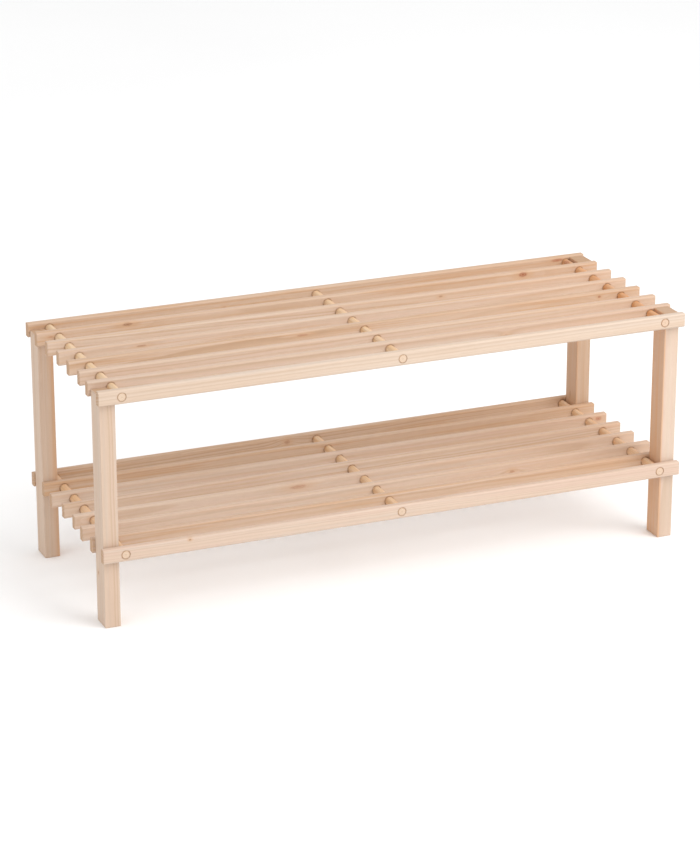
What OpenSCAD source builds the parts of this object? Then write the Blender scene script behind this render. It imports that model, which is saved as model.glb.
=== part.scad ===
// Two-tier slatted entryway bench in unfinished softwood.
// Each shelf is a row of slats standing on edge, threaded on three cross dowels.
// Four legs fill the outermost gaps between the slats. On each shelf, a screw from
// behind goes through the slat at the leg's back and into the leg.
// +X runs along the bench, -Y is its front, +Z is up.
// The origin is on the floor, under the middle of the bench.

/* [Bench] */
// Overall length, over the longest slats
bench_l = 740; // [500:10:1200]
// Height of the upper shelf's top
seat_h = 290; // [220:5:450]
// Height of the lower shelf's top
lower_h = 100; // [60:5:130]
// Number of slats in each shelf
slat_count = 8; // [4:1:12]

/* [Slats] */
// Thickness of a slat, front to back
slat_t = 9.5; // [8:0.5:14]
// Height of a slat, standing on edge
slat_h = 17.5; // [16:0.5:30]
// Distance from one slat to the next
slat_pitch = 38; // [34:1:50]
// Rounding of a slat's long edges
slat_edge_r = 2.8; // [0.5:0.1:3.5]

/* [Legs] */
// Width of a leg along the bench
leg_w = 19; // [14:1:30]
// Distance from the end of the bench to a leg's outer face
leg_inset = 3.5; // [2:0.5:20]
// Drop from the top of the upper shelf to the tops of the left legs
left_leg_drop = 8; // [0.5:0.5:9]
// Drop from the top of the upper shelf to the tops of the right legs
right_leg_drop = 1.5; // [0.5:0.5:9]
// Rounding of a leg's long edges
leg_edge_r = 1; // [0.5:0.1:3]

/* [Dowels] */
// Diameter of a cross dowel
dowel_d = 10; // [8:0.5:12]
// Chamfer around a dowel's ends
dowel_chamfer = 0.6; // [0.2:0.1:1]
// Gap all round a dowel in its hole
dowel_gap = 0.05; // [0.02:0.01:0.2]

/* [Screws] */
// Diameter of a screw over its thread
screw_d = 3; // [2.5:0.1:3.5]
// Length of a screw
screw_l = 30; // [20:5:30]
// Diameter of a screw's countersunk head
screw_head_d = 5.6; // [5.2:0.1:6]
// Depth of a screw head below the slat's face
screw_sink = 0.3; // [0.1:0.1:1]
// Distance of a screw below the middle of its slat
screw_drop = 3; // [0:0.5:3]

/* [Finish] */
// Chamfer around the sawn ends of slats and legs
end_ease = 0.7; // [0.2:0.1:1]
// Chamfer around the mouth of a drilled hole
hole_ease = 0.4; // [0.1:0.1:0.8]
// Share of the listed unevenness of the slat ends that is used
end_scatter = 1; // [0:0.1:1.5]

/* [Hidden] */
$fn = 64;
eps = 0.01;
bench_d = (slat_count - 1) * slat_pitch + slat_t;
leg_d = slat_pitch - slat_t;
leg_x = (bench_l - leg_w) / 2 - leg_inset;
leg_drops = [left_leg_drop, right_leg_drop];

SHELF_NAMES = ["upper", "lower"];
ROW_NAMES = ["front", "back"];
SIDE_NAMES = ["left", "right"];
DOWEL_NAMES = ["left", "middle", "right"];
shelf_tops = [seat_h, lower_h];

// How much shorter than the bench each slat ends, in mm, from the front slat to the back one.
left_trims = [[0, 0, 3, 2.5, 2.5, 1, 0, 1], [0.5, 0, 0.5, 3.5, 3, 0, 2.5, 1.5]];
right_trims = [[0.5, 0, 0, 1.5, 1, 1.5, 2, 2], [0.5, 1, 1, 2.5, 2, 2, 0, 0.5]];

// The end dowels lie against the legs' inner faces.
dowel_x = leg_x - (leg_w + dowel_d) / 2;
dowel_xs = [-dowel_x, 0, dowel_x];
bore_r = dowel_d / 2 + dowel_gap;

screw_r = screw_d / 2;
screw_head_r = screw_head_d / 2;
screw_head_h = screw_head_r - screw_r;
screw_core_r = 0.68 * screw_r;
screw_tip_l = 3;
screw_gap = 0.1;
thread_pitch = 1.4;
thread_turns = floor((screw_l - slat_t - screw_tip_l) / thread_pitch);
recess_l = 0.62 * screw_head_d;
recess_w = 0.8;
recess_d = 1.1;

slat_colour = "#e9cdb0";
leg_colour = "#e3c5a5";
dowel_colour = "#ddb37c";
screw_colour = "#b9b9b4";

function slat_node(shelf, k) = str(SHELF_NAMES[shelf], "_slat_", k);
function dowel_node(shelf, place) = str(SHELF_NAMES[shelf], "_dowel_", DOWEL_NAMES[place]);
function leg_node(row, side) = str("leg_", ROW_NAMES[row], "_", SIDE_NAMES[side]);
function screw_node(shelf) = str(SHELF_NAMES[shelf], "_screws");

// Height of a shelf's dowels, which run through the middles of its slats
function dowel_z(shelf) = shelf_tops[shelf] - slat_h / 2;
// Middle of a leg, front to back
function leg_y(row) = (row == 0 ? -1 : 1) * (bench_d / 2 - slat_t - leg_d / 2);
// Whether a slat has the back of a leg against its front face
function behind_leg(k) = k == 2 || k == slat_count;
// A slat's own value from a list of trims
function trim_of(trims, k) = end_scatter * trims[(k - 1) % len(trims)];

// A rectangle w by h with its corners rounded to radius r, centred on the origin
module rounded_rect(w, h, r) {
    square([w, h - 2 * r], center = true);
    square([w - 2 * r, h], center = true);
    for (x = [-1, 1], y = [-1, 1])
        translate([x * (w / 2 - r), y * (h / 2 - r)]) circle(r);
}

// A square bar that takes a 45 degree chamfer off an edge that runs along Y
module edge_cut(length, depth) {
    side = depth * sqrt(2);
    rotate([0, 45, 0]) cube([side, length, side], center = true);
}

// A sawn stick along +Z from the origin: rounded long edges, chamfered ends
module stick(w, h, length, edge_r, ease) {
    difference() {
        linear_extrude(length) rounded_rect(w, h, edge_r);
        for (z = [0, length]) {
            for (x = [-w / 2, w / 2]) translate([x, 0, z]) edge_cut(h + 1, ease);
            for (y = [-h / 2, h / 2]) translate([0, y, z]) rotate([0, 0, 90]) edge_cut(w + 1, ease);
        }
    }
}

// A hole through a slat along Y, with eased mouths, centred on the origin
module slat_bore() {
    mouth_r = bore_r + hole_ease;
    rotate([90, 0, 0]) {
        cylinder(h = slat_t + 2, r = bore_r, center = true);
        for (turn = [0, 180])
            rotate([turn, 0, 0]) translate([0, 0, slat_t / 2 - hole_ease])
                cylinder(h = 2 * hole_ease, r1 = bore_r, r2 = mouth_r + hole_ease);
    }
}

// Slat k of a shelf, counted from the front
module slat(shelf, k) {
    left = trim_of(left_trims[shelf], k);
    right = trim_of(right_trims[shelf], k);
    y = -bench_d / 2 + slat_t / 2 + (k - 1) * slat_pitch;
    color(slat_colour) difference() {
        translate([left - bench_l / 2, y, dowel_z(shelf)])
            rotate([90, 0, 90]) stick(slat_t, slat_h, bench_l - left - right, slat_edge_r, end_ease);
        for (x = dowel_xs) translate([x, y, dowel_z(shelf)]) slat_bore();
        if (behind_leg(k)) at_screws(shelf) screw_hole();
    }
}

// Puts something drawn from the origin along -Y at every screw of a shelf
module at_screws(shelf) {
    for (side = [-1, 1], row = [0, 1])
        translate([side * leg_x, leg_y(row) + leg_d / 2 + slat_t, dowel_z(shelf) - screw_drop])
            children();
}

// The countersunk hole that a screw needs, through a slat and on into a leg
module screw_hole() {
    wide_r = screw_head_r + screw_sink + screw_gap;
    cone_h = wide_r - screw_r;
    rotate([90, 0, 0]) {
        translate([0, 0, -1]) cylinder(h = screw_sink + screw_l + screw_gap + 1, r = screw_r + screw_gap);
        translate([0, 0, -eps]) cylinder(h = cone_h, r1 = wide_r, r2 = screw_r);
    }
}

// A cross dowel
module dowel(shelf, place) {
    r = dowel_d / 2;
    c = dowel_chamfer;
    profile = [[0, 0], [r - c, 0], [r, c], [r, bench_d - c], [r - c, bench_d], [0, bench_d]];
    color(dowel_colour)
        translate([dowel_xs[place], -bench_d / 2, dowel_z(shelf)])
            rotate([-90, 0, 0]) rotate_extrude() polygon(profile);
}

// A leg, with a blind screw hole in its back at each shelf
module leg(row, side) {
    color(leg_colour) difference() {
        translate([side == 0 ? -leg_x : leg_x, leg_y(row), 0])
            stick(leg_w, leg_d, seat_h - leg_drops[side], leg_edge_r, end_ease);
        for (shelf = [0, 1]) at_screws(shelf) screw_hole();
    }
}

// A countersunk cross-head wood screw along -Y, the top of its head at the origin
module screw() {
    shank_l = screw_l - screw_tip_l - thread_turns * thread_pitch;
    thread = [for (i = [0:thread_turns - 1], step = [0, 1])
        [step == 0 ? screw_core_r : screw_r, shank_l + (i + step / 2) * thread_pitch]];
    profile = concat(
        [[0, 0], [screw_head_r, 0], [screw_r, screw_head_h], [screw_r, shank_l]],
        thread,
        [[screw_core_r, screw_l - screw_tip_l], [0, screw_l]]
    );
    rotate([90, 0, 0]) difference() {
        rotate_extrude() polygon(profile);
        for (turn = [0, 90])
            rotate([0, 0, turn]) cube([recess_l, recess_w, 2 * recess_d], center = true);
    }
}

// The four screws of a shelf
module shelf_screws(shelf) {
    color(screw_colour) at_screws(shelf) translate([0, -screw_sink, 0]) screw();
}

for (shelf = [0, 1], k = [1:slat_count])
    slat(shelf, k);
for (shelf = [0, 1], place = [0:2])
    dowel(shelf, place);
for (row = [0, 1], side = [0, 1])
    leg(row, side);
for (shelf = [0, 1])
    shelf_screws(shelf);
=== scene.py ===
import math
import random

import bpy
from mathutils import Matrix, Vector


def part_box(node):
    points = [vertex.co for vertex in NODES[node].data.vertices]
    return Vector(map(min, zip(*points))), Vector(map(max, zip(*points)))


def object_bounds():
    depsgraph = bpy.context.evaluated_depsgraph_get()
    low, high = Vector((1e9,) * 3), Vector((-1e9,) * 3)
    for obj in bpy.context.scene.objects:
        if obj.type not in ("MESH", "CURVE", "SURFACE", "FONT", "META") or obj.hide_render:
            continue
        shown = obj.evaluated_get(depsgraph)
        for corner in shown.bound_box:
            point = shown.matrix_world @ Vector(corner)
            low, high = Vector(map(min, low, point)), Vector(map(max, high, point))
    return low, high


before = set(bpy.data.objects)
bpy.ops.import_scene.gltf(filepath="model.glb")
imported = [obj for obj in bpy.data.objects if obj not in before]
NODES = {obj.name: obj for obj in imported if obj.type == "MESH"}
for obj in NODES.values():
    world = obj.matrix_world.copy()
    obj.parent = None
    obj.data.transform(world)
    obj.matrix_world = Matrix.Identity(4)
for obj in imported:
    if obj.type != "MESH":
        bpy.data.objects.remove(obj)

# Looks of a two-tier slatted bench in unfinished softwood. Every wooden piece gets its own
# board: growth rings round a pith, streaks, fibres and knots, all worked out from its place
# in the frame. Lengths inside the wood materials are in millimetres.

CAD_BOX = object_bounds()
CAD_LOW, CAD_HIGH = CAD_BOX
SHELVES = ("upper", "lower")
MM = 1000.0
ALONG_X, ALONG_Y, ALONG_Z = "XYZ", "YXZ", "ZXY"
DOWEL_PLACES = ("left", "middle", "right")

# Spacing of the growth rings, and depth of the relief and of the screws' turning marks in metres.
SLAT_RINGS, LEG_RINGS, DOWEL_RINGS = 3.4, 4.2, 1.9
WOOD_RELIEF, METAL_RELIEF = 0.00011, 0.00003
MOTTLE_SIZE = 1.3

LENS, SENSOR = 130.12, 36.0
CAMERA_TARGET = (-0.0085, 0.0, 0.1515)
CAMERA_AZIMUTH, CAMERA_ELEVATION, CAMERA_DISTANCE = -22.826, 20.102, 3.731
FLOOR_REACH = 14.0
SURROUND = 0.955
# Softboxes: azimuth, elevation, distance, size, watts.
KEY_LIGHT = (38, 38, 3.0, 2.2, 55)
FILL_LIGHT = (-70, 30, 3.2, 2.0, 8)

# ---------------------------------------------------------------- wood colours, linear

CREAM = (0.635, 0.515, 0.415, 1)
TAN = (0.570, 0.410, 0.290, 1)
PINK = (0.605, 0.440, 0.350, 1)
AMBER = (0.540, 0.325, 0.185, 1)
LATE = (0.390, 0.275, 0.185, 1)
DEEP = (0.430, 0.260, 0.150, 1)
GREY = (0.580, 0.475, 0.395, 1)
HEART = (0.590, 0.345, 0.200, 1)
KNOT_RED = (0.350, 0.095, 0.040, 1)
KNOT_BROWN = (0.250, 0.125, 0.060, 1)
END_CREAM = (0.620, 0.480, 0.370, 1)
DOWEL_LIGHT = (0.780, 0.600, 0.410, 1)
DOWEL_DARK = (0.720, 0.505, 0.290, 1)
DOWEL_ORANGE = (0.630, 0.280, 0.105, 1)
# Painted shade for the gaps round the dowels, used as a dark ring on the slats and on the dowel ends.
GAP_SHADE = (0.250, 0.125, 0.055, 1)

# Knots by piece: (place along the piece, place across it, length, width, redness, darkness).
# Along is measured from the piece's middle, across from the middle of its face, all in mm.
KNOTS = {
    "upper_slat_8": [(331, 4.6, 9, 2.2, 1.0, 0.75), (-120, -3, 4, 2.5, 0.3, 0.5)],
    "upper_slat_7": [
        (-256, 5.6, 7, 2.2, 0.1, 0.85), (265, 4.6, 6.5, 3.4, 0.7, 1.0), (-352, 2, 4, 1.2, 0.8, 0.4),
    ],
    "upper_slat_6": [(134, 3.2, 3, 1.4, 0.1, 0.6)],
    "upper_slat_5": [(-267, 3.5, 7, 1.3, 0.2, 0.6)],
    "upper_slat_4": [(-80, 4.0, 9, 1.4, 0.5, 0.6), (312, 3.0, 2.2, 1.7, 0.6, 0.9)],
    "upper_slat_2": [(150, -4, 4, 3, 0.3, 0.5)],
    "lower_slat_1": [(-265, 6.4, 1.7, 1.2, 0.1, 0.9)],
    "lower_slat_3": [(180, -4, 4, 3, 0.5, 0.6)],
    "lower_slat_4": [(-86, 3.5, 12, 2.6, 0.7, 0.45), (-346, 3, 3.0, 1.9, 0.5, 0.7)],
    "lower_slat_6": [(357, 3, 5, 3.0, 1.0, 0.7)],
    "lower_slat_8": [(-40, 2, 4, 3, 0.4, 0.5)],
    "upper_dowel_right": [(118, 3, 9, 2.4, 1.0, 0.7)],
    "leg_front_left": [(-79, 5, 2.6, 1.3, 0.2, 0.9)],
    "leg_back_right": [(-37, 2, 6, 1.3, 0.4, 0.9)],
}


class Graph:
    """Builds one material's nodes. Its calls take numbers, colours or outputs, and return an output."""

    MIX_FACTOR, MIX_A, MIX_B, MIX_RESULT = 0, 6, 7, 2

    def __init__(self, name):
        self.material = bpy.data.materials.new(name)
        self.material.use_nodes = True
        self.nodes = self.material.node_tree.nodes
        self.links = self.material.node_tree.links
        self.nodes.clear()
        self.shader = self.make("BsdfPrincipled")
        output = self.make("OutputMaterial")
        self.links.new(self.shader.outputs[0], output.inputs["Surface"])

    def make(self, kind):
        return self.nodes.new("ShaderNode" + kind)

    def put(self, socket, value):
        if isinstance(value, bpy.types.NodeSocket):
            self.links.new(value, socket)
        else:
            socket.default_value = value

    def math(self, operation, *values):
        node = self.make("Math")
        node.operation = operation
        for socket, value in zip(node.inputs, values):
            self.put(socket, value)
        return node.outputs[0]

    def add(self, a, b):
        return self.math("ADD", a, b)

    def sub(self, a, b):
        return self.math("SUBTRACT", a, b)

    def mul(self, a, b):
        return self.math("MULTIPLY", a, b)

    def length(self, a, b):
        """The length of a vector with the parts a and b."""
        return self.math("SQRT", self.add(self.mul(a, a), self.mul(b, b)))

    def fall(self, distance):
        """A round bump: 1 where distance is 0, and near 0 from 2 on."""
        return self.math("EXPONENT", self.mul(self.mul(distance, distance), -1.0))

    def step(self, value, low, high, from_low=0.0, to_high=1.0):
        """A smooth step from from_low to to_high, as value goes from low to high."""
        node = self.make("MapRange")
        node.interpolation_type = "SMOOTHSTEP"
        for socket, number in zip(node.inputs, (value, low, high, from_low, to_high)):
            self.put(socket, number)
        return node.outputs[0]

    def mix(self, factor, a, b, blend="MIX"):
        node = self.make("Mix")
        node.data_type = "RGBA"
        node.blend_type = blend
        self.put(node.inputs[self.MIX_FACTOR], factor)
        self.put(node.inputs[self.MIX_A], a)
        self.put(node.inputs[self.MIX_B], b)
        return node.outputs[self.MIX_RESULT]

    def vector(self, x, y, z):
        node = self.make("CombineXYZ")
        for socket, value in zip(node.inputs, (x, y, z)):
            self.put(socket, value)
        return node.outputs[0]

    def split(self, vector):
        node = self.make("SeparateXYZ")
        self.links.new(vector, node.inputs[0])
        return dict(zip("XYZ", node.outputs))

    def noise(self, vector, detail=2.0, roughness=0.5):
        node = self.make("TexNoise")
        self.links.new(vector, node.inputs["Vector"])
        node.inputs["Scale"].default_value = 1.0
        node.inputs["Detail"].default_value = detail
        node.inputs["Roughness"].default_value = roughness
        return node.outputs[0]

    def bump(self, height, depth):
        """Dents the surface by height times depth, which is in metres."""
        node = self.make("Bump")
        node.inputs["Distance"].default_value = depth
        self.put(node.inputs["Height"], height)
        self.links.new(node.outputs[0], self.shader.inputs["Normal"])


class Board(Graph):
    """The wood of one piece. Its own axes, in mm from its middle: along the grain, side and rise."""

    def __init__(self, name, axes):
        super().__init__(name + "_wood")
        self.draw = random.Random(name)
        low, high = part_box(name)
        middle = (low + high) / 2
        half = (high - low) / 2 * MM
        place = self.split(self.make("TexCoord").outputs["Object"])
        normal = self.split(self.make("NewGeometry").outputs["Normal"])
        self.along, self.side, self.rise = (
            self.mul(self.sub(place[axis], middle["XYZ".index(axis)]), MM) for axis in axes
        )
        self.half_along, self.half_side, self.half_rise = (half["XYZ".index(axis)] for axis in axes)
        self.end_on = self.step(self.math("ABSOLUTE", normal[axes[0]]), 0.6, 0.9)

    def streaks(self, length, width, detail=2.0, roughness=0.5):
        """Noise drawn out along the grain, in patches about length by width mm."""
        shift = [self.draw.uniform(-50, 50) for _ in range(3)]
        parts = ((self.along, length), (self.side, width), (self.rise, width))
        moved = [self.add(self.mul(place, 1 / size), by) for (place, size), by in zip(parts, shift)]
        return self.noise(self.vector(*moved), detail, roughness)

    def wander(self, length, width, reach):
        """A slow drift of the grain, up to about reach mm either way."""
        return self.mul(self.sub(self.streaks(length, width, 1.0), 0.5), 2 * reach)

    def knots(self, places):
        """(how much the knots push the rings aside in mm, how near each point is to a knot)."""
        push, cores = 0.0, []
        for along, rise, length, width, red, dark in places:
            away_along = self.sub(self.along, along)
            away_rise = self.sub(self.rise, rise)
            core = self.length(self.mul(away_along, 1 / length), self.mul(away_rise, 1 / width))
            far = self.length(
                self.mul(away_along, 1 / (4.5 * length)), self.mul(away_rise, 1 / (2.2 * width))
            )
            push = self.add(push, self.mul(self.fall(far), 1.6 * width))
            cores.append((core, red, dark))
        return push, cores

    def rings(self, spacing, pith, push, slope=0.0):
        """(late wood, strength of each ring) round a pith at (side, rise) mm, which leans by slope."""
        lean_side, lean_rise = (self.draw.uniform(-slope, slope) for _ in range(2))
        side = self.add(self.side, self.wander(190, 60, 2.0))
        side = self.add(side, self.add(self.mul(self.along, lean_side), -pith[0]))
        rise = self.add(self.rise, self.wander(150, 60, 2.4))
        rise = self.add(rise, self.add(self.mul(self.along, lean_rise), -pith[1]))
        radius = self.add(self.length(side, rise), push)
        radius = self.add(radius, self.wander(60, 9, 0.35))
        crowd = self.noise(self.vector(self.mul(radius, 0.09), self.draw.uniform(0, 90), 0.0), 1.0)
        ring = self.add(self.mul(radius, 1 / spacing), self.mul(crowd, 3.0))
        phase = self.math("FRACT", ring)
        late = self.mul(self.step(phase, 0.25, 0.82), self.step(phase, 0.86, 1.0, 1.0, 0.0))
        index = self.math("FLOOR", ring)
        strength = self.noise(self.vector(self.mul(index, 0.63), self.draw.uniform(0, 90), 0.0), 0.0)
        return late, self.step(strength, 0.3, 0.7, 0.25, 1.0)


def near_faces(board, place, half):
    """1 at the two faces that lie half mm from the middle, and 0 from 1.6 mm inside them."""
    return board.step(board.math("ABSOLUTE", place), half - 1.6, half - 0.2)


def edge_wear(board):
    """How near a point is to one of the long edges, from 0 to 1, with an uneven border."""
    near_side = near_faces(board, board.side, board.half_side)
    near_rise = near_faces(board, board.rise, board.half_rise)
    uneven = board.step(board.streaks(26, 4), 0.35, 0.65, 0.4, 1.0)
    return board.mul(board.mul(near_side, near_rise), uneven)


def paint_knots(board, colour, cores):
    """Lays knots over a colour: an amber halo along the grain and a fine-ringed red or brown heart."""
    for core, red, dark in cores:
        heart = board.mix(red, KNOT_BROWN, KNOT_RED)
        wavy = board.mul(board.streaks(3, 1.5), 7.0)
        rings = board.math("SINE", board.add(board.mul(core, 11.0), wavy))
        inside = board.mix(board.step(rings, -1.0, 1.0, 0.0, 0.45), heart, AMBER)
        ragged = board.add(core, board.mul(board.sub(board.streaks(4, 0.8), 0.5), 0.9))
        halo = board.step(ragged, 0.9, 3.2, 0.55 * (0.5 + dark / 2), 0.0)
        colour = board.mix(halo, colour, AMBER)
        colour = board.mix(board.step(ragged, 0.35, 1.25, dark, 0.0), colour, inside)
    return colour


def painted_gap_shade(board, holes, width):
    """How dark the painted shade makes the wood in a ring of about this width round each dowel hole,
    standing in for the shade in the gap between dowel and hole.
    """
    shade_ring = 0.0
    for along, rise, radius in holes:
        away = board.length(board.sub(board.along, along), board.sub(board.rise, rise))
        line = board.mul(board.sub(away, radius + width / 2), 1 / width)
        shade_ring = board.math("MAXIMUM", shade_ring, board.fall(line))
    return board.mul(shade_ring, board.step(board.streaks(3.5, 3.5), 0.3, 0.7, 0.3, 1.0))


def sawn_softwood(name, axes, look, spacing, holes=(), shade_width=0.9, heart=None):
    """Pale planed fir. look is (tan, pink, amber, dark, flat), each from 0 to 1.

    The first four are shares of tones. flat is 1 where the rings lie along the front face, as in a
    flat-sawn board, and 0 where they cross it. heart, (axis, share, place, reach), turns the wood
    orange where it lies beyond place on one of its axes, over the given reach in mm.
    """
    board = Board(name, axes)
    tan, pink, amber, dark, flat = look
    turn = math.radians(90 * (1 - flat) + board.draw.uniform(-14, 14))
    pith_away = board.draw.uniform(30, 60) * board.draw.choice((-1, 1))
    push, cores = board.knots(KNOTS.get(name, []))
    pith = (pith_away * math.cos(turn), pith_away * math.sin(turn))
    late, strength = board.rings(spacing, pith, push, 0.018)
    fibre = board.streaks(17, 0.34, 2.0, 0.6)
    fleck = board.step(board.streaks(5, 0.42, 0.0), 0.70, 0.78)

    # Broad patches of tone: (tone, length, width, low, high, least share, greatest share).
    patches = (
        (TAN, 330, 9, 0.34, 0.66, 0.6 * tan, 0.4 + 0.6 * tan),
        (PINK, 260, 7, 0.38, 0.62, 0.35 * pink, pink),
        (GREY, 280, 5, 0.50, 0.70, 0.0, 0.8 * (1 - amber)),
        (AMBER, 150, 3.2, 0.45, 0.70, 0.15 * amber, amber),
    )
    colour = CREAM
    for tone, length, width, *limits in patches:
        colour = board.mix(board.step(board.streaks(length, width), *limits), colour, tone)
    early_tint = board.mul(late, board.mul(strength, 0.10 + 0.65 * amber))
    colour = board.mix(early_tint, colour, AMBER)
    late_tint = board.mul(board.mul(late, late), board.mul(strength, 0.30 + 0.15 * amber))
    colour = board.mix(late_tint, colour, LATE)
    colour = board.mix(board.step(fibre, 0.3, 0.7, 0.0, 0.17), colour, LATE)
    colour = board.mix(board.mul(fleck, 0.18), colour, LATE)
    if heart:
        axis, share, place, reach = heart
        depth = board.add(getattr(board, axis), board.wander(120, 6, 2.0))
        patchy = board.step(board.streaks(170, 4), 0.35, 0.62, 0.6, 1.0)
        heartwood = board.step(depth, place, place + reach, 0.0, share)
        colour = board.mix(board.mul(heartwood, patchy), colour, HEART)
    colour = board.mix(dark, colour, DEEP)
    colour = paint_knots(board, colour, cores)
    colour = board.mix(board.mul(edge_wear(board), 0.14), colour, CREAM)
    end_grain = board.add(0.62, board.mul(late, 0.38))
    colour = board.mix(board.mul(board.end_on, end_grain), colour, DEEP)
    # Painted shade: a dark ring round each dowel hole stands in for the shade in the gap round the
    # dowel.
    colour = board.mix(board.mul(painted_gap_shade(board, holes, shade_width), 0.8), colour, GAP_SHADE)
    board.links.new(colour, board.shader.inputs["Base Color"])

    rough = board.add(board.mul(late, -0.07), board.step(fibre, 0.25, 0.75, 0.50, 0.64))
    board.links.new(board.add(rough, board.mul(board.end_on, 0.2)), board.shader.inputs["Roughness"])
    board.shader.inputs["Specular IOR Level"].default_value = 0.38
    sawn = board.mul(board.mul(board.streaks(0.7, 0.7), board.end_on), 0.8)
    relief = board.add(board.mul(late, 0.30), board.add(board.mul(fibre, 0.5), sawn))
    board.bump(relief, WOOD_RELIEF)
    return board.material


def turned_dowel(name, orange):
    """The yellower wood of a dowel, with close grain, a pinker, sanded end and a painted shade ring
    round the end's edge. orange is a share.
    """
    board = Board(name, ALONG_Y)
    turn = board.draw.uniform(0, 2 * math.pi)
    push, cores = board.knots(KNOTS.get(name, []))
    late, strength = board.rings(DOWEL_RINGS, (9 * math.cos(turn), 9 * math.sin(turn)), push)
    fibre = board.streaks(13, 0.3, 2.0, 0.6)
    colour = board.mix(board.step(board.streaks(60, 3), 0.3, 0.7), DOWEL_LIGHT, DOWEL_DARK)
    orange_patch = board.step(board.streaks(45, 5), 0.3, 0.6, 0.7 * orange, orange)
    colour = board.mix(orange_patch, colour, DOWEL_ORANGE)
    colour = board.mix(board.mul(board.mul(late, strength), 0.30), colour, LATE)
    colour = board.mix(board.step(fibre, 0.3, 0.7, 0.0, 0.12), colour, LATE)
    colour = paint_knots(board, colour, cores)
    colour = board.mix(board.mul(board.end_on, 0.80), colour, END_CREAM)
    colour = board.mix(board.mul(board.end_on, board.mul(late, 0.25)), colour, LATE)
    away = board.length(board.side, board.rise)
    radius = board.half_side
    pith = board.mul(board.fall(board.mul(away, 1 / 0.5)), board.end_on)
    colour = board.mix(board.mul(pith, 0.45), colour, KNOT_BROWN)
    end = board.half_along
    near_end = board.step(board.math("ABSOLUTE", board.along), end - 0.9, end - 0.1)
    # Painted shade: a dark ring at the edge of each end face stands in for the shade in the gap between
    # dowel and hole.
    shade_ring = board.mul(board.step(away, radius - 0.9, radius - 0.3), near_end)
    colour = board.mix(board.mul(shade_ring, 0.5), colour, GAP_SHADE)
    board.links.new(colour, board.shader.inputs["Base Color"])
    rough = board.add(board.step(fibre, 0.25, 0.75, 0.42, 0.56), board.mul(board.end_on, 0.2))
    board.links.new(rough, board.shader.inputs["Roughness"])
    board.shader.inputs["Specular IOR Level"].default_value = 0.45
    board.bump(board.add(board.mul(late, 0.25), board.mul(fibre, 0.55)), WOOD_RELIEF)
    return board.material


def zinc_steel(name):
    """Zinc-plated screws: a cool, slightly mottled metal with fine turning marks."""
    graph = Graph(name + "_zinc")
    place = graph.split(graph.make("TexCoord").outputs["Object"])
    scaled = [graph.mul(place[axis], MM / MOTTLE_SIZE) for axis in "XYZ"]
    mottle = graph.noise(graph.vector(*scaled), 3.0, 0.6)
    colour = graph.mix(graph.step(mottle, 0.35, 0.65), (0.56, 0.57, 0.57, 1), (0.70, 0.69, 0.64, 1))
    graph.links.new(colour, graph.shader.inputs["Base Color"])
    graph.links.new(graph.step(mottle, 0.3, 0.7, 0.26, 0.42), graph.shader.inputs["Roughness"])
    graph.shader.inputs["Metallic"].default_value = 1.0
    marks = graph.noise(graph.vector(graph.mul(place["X"], MM / 0.25), 0.0, 0.0), 1.0)
    graph.bump(marks, METAL_RELIEF)
    return graph.material


def pale_floor():
    """A plain, almost white studio floor with the faintest unevenness."""
    graph = Graph("studio_floor")
    place = graph.split(graph.make("TexCoord").outputs["Object"])
    cloud = graph.noise(graph.vector(place["X"], place["Y"], 0.0), 3.0, 0.5)
    colour = graph.mix(graph.step(cloud, 0.3, 0.7), (0.94, 0.94, 0.94, 1), (0.96, 0.96, 0.96, 1))
    graph.links.new(colour, graph.shader.inputs["Base Color"])
    graph.shader.inputs["Roughness"].default_value = 0.85
    graph.shader.inputs["Specular IOR Level"].default_value = 0.1
    return graph.material


def dress(name, material):
    """Gives a CAD node one material."""
    mesh = NODES[name].data
    mesh.materials.clear()
    mesh.materials.append(material)


def dowel_holes(shelf, slat):
    """(along, rise, radius) of a shelf's dowel holes, in mm from that slat's middle."""
    low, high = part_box(slat)
    middle = (low + high) / 2
    holes = []
    for place in DOWEL_PLACES:
        dowel_low, dowel_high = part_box(f"{shelf}_dowel_{place}")
        centre = (dowel_low + dowel_high) / 2 - middle
        holes.append((centre.x * MM, centre.z * MM, (dowel_high.x - dowel_low.x) / 2 * MM))
    return holes


def point_at(thing, target):
    """Turns a camera or a light to face a point."""
    thing.rotation_euler = (target - thing.location).to_track_quat("-Z", "Y").to_euler()


def from_direction(target, azimuth, elevation, distance):
    """A place at a distance from target. Azimuth 0 is in front of the bench, and 90 at its right end."""
    a, e = math.radians(azimuth), math.radians(elevation)
    away = Vector((math.sin(a) * math.cos(e), -math.cos(a) * math.cos(e), math.sin(e)))
    return target + away * distance


def softbox(name, azimuth, elevation, distance, size, watts):
    """A square soft light that faces the bench."""
    light = bpy.data.lights.new(name, "AREA")
    light.shape = "SQUARE"
    light.size = size
    light.energy = watts
    lamp = bpy.data.objects.new(name, light)
    bpy.context.scene.collection.objects.link(lamp)
    middle = (CAD_LOW + CAD_HIGH) / 2
    lamp.location = from_direction(middle, azimuth, elevation, distance)
    point_at(lamp, middle)


def make_camera():
    """A long lens from the front left, a little above."""
    data = bpy.data.cameras.new("camera")
    data.sensor_width = SENSOR
    data.lens = LENS
    camera = bpy.data.objects.new("camera", data)
    bpy.context.scene.collection.objects.link(camera)
    target = Vector(CAMERA_TARGET)
    camera.location = from_direction(target, CAMERA_AZIMUTH, CAMERA_ELEVATION, CAMERA_DISTANCE)
    point_at(camera, target)
    data.clip_end = 60.0
    bpy.context.scene.camera = camera


def make_floor():
    """A floor under the feet, wide enough to fill every view."""
    mesh = bpy.data.meshes.new("floor")
    square = ((-1, -1), (1, -1), (1, 1), (-1, 1))
    corners = [(x * FLOOR_REACH, y * FLOOR_REACH, CAD_LOW.z) for x, y in square]
    mesh.from_pydata(corners, [], [(0, 1, 2, 3)])
    mesh.materials.append(pale_floor())
    floor = bpy.data.objects.new("floor", mesh)
    bpy.context.scene.collection.objects.link(floor)


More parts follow.
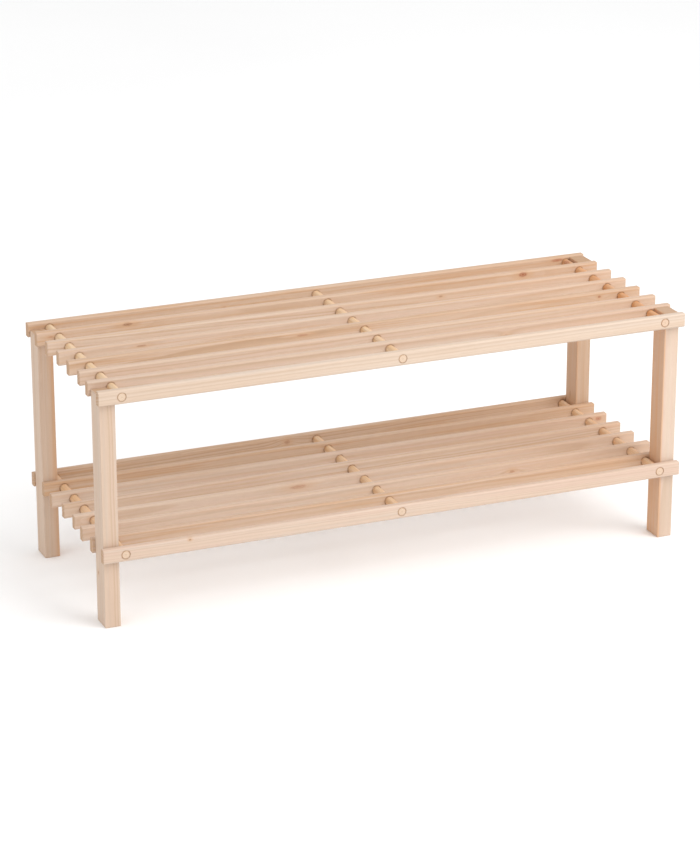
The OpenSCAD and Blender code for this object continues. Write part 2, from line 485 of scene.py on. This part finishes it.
def make_light():
    """Soft studio light: a broad key from the right front, a weak fill, and a pale surround."""
    world = bpy.data.worlds.new("studio")
    bpy.context.scene.world = world
    world.use_nodes = True
    background = world.node_tree.nodes["Background"]
    background.inputs["Color"].default_value = (1.0, 1.0, 1.0, 1)
    background.inputs["Strength"].default_value = SURROUND
    softbox("key", *KEY_LIGHT)
    softbox("fill", *FILL_LIGHT)
    bpy.context.scene.view_settings.view_transform = "Standard"


# Each slat's look from the front to the back, and each leg's: (tan, pink, amber, dark, flat).
SLAT_LOOKS = {
    "upper": [
        (0.0, 0.10, 0.00, 0.00, 0.1), (0.5, 0.80, 0.15, 0.10, 0.6), (0.4, 0.60, 0.25, 0.05, 0.3),
        (0.7, 0.50, 0.90, 0.12, 0.9), (0.2, 0.60, 0.50, 0.00, 0.9), (0.4, 0.50, 0.45, 0.00, 0.5),
        (0.7, 0.60, 0.90, 0.12, 0.8), (0.9, 0.40, 0.90, 0.15, 0.7),
    ],
    "lower": [
        (0.1, 0.95, 0.00, 0.00, 0.1), (0.6, 0.60, 0.80, 0.10, 0.6), (0.4, 0.60, 0.30, 0.00, 0.8),
        (0.1, 0.60, 0.30, 0.00, 1.0), (0.3, 0.60, 0.40, 0.00, 0.4), (0.3, 0.80, 0.35, 0.00, 0.7),
        (0.9, 0.40, 1.00, 0.18, 0.5), (0.9, 0.30, 1.00, 0.12, 0.3),
    ],
}
LEG_LOOKS = {
    "leg_front_left": (0.3, 0.45, 0.10, 0.08, 0.3),
    "leg_front_right": (0.0, 0.70, 0.00, 0.00, 0.2),
    "leg_back_left": (0.3, 0.40, 0.30, 0.05, 0.6),
    "leg_back_right": (0.9, 0.50, 0.60, 0.30, 0.3),
}
LEG_HEARTS = {
    "leg_front_right": ("side", 1.0, -6, -3.5),
    "leg_back_right": ("side", 1.0, -6, -3.5),
    "leg_back_left": ("side", 0.9, 0, 9),
}
# The slats behind the front ones get redder towards the right end.
SLAT_HEART = ("along", 0.30, -20, 330)
DOWEL_ORANGES = {
    "upper_dowel_left": 0.15,
    "upper_dowel_middle": 0.25,
    "upper_dowel_right": 1.0,
    "lower_dowel_left": 0.45,
    "lower_dowel_middle": 0.35,
    "lower_dowel_right": 0.5,
}
# Widths in mm of the painted shade rings round the dowel holes, narrower in the front slats than in the
# others.
FRONT_SHADE_WIDTH, INNER_SHADE_WIDTH = 0.5, 0.9


def dress_bench():
    """Gives every node of the bench its material."""
    for shelf in SHELVES:
        for k, look in enumerate(SLAT_LOOKS[shelf], 1):
            name = f"{shelf}_slat_{k}"
            shade_width, heart = (FRONT_SHADE_WIDTH, None) if k == 1 else (INNER_SHADE_WIDTH, SLAT_HEART)
            holes = dowel_holes(shelf, name)
            dress(name, sawn_softwood(name, ALONG_X, look, SLAT_RINGS, holes, shade_width, heart))
        for place in DOWEL_PLACES:
            name = f"{shelf}_dowel_{place}"
            dress(name, turned_dowel(name, DOWEL_ORANGES[name]))
        dress(f"{shelf}_screws", zinc_steel(f"{shelf}_screws"))
    for name, look in LEG_LOOKS.items():
        dress(name, sawn_softwood(name, ALONG_Z, look, LEG_RINGS, heart=LEG_HEARTS.get(name)))


make_camera()
make_floor()
make_light()
dress_bench()
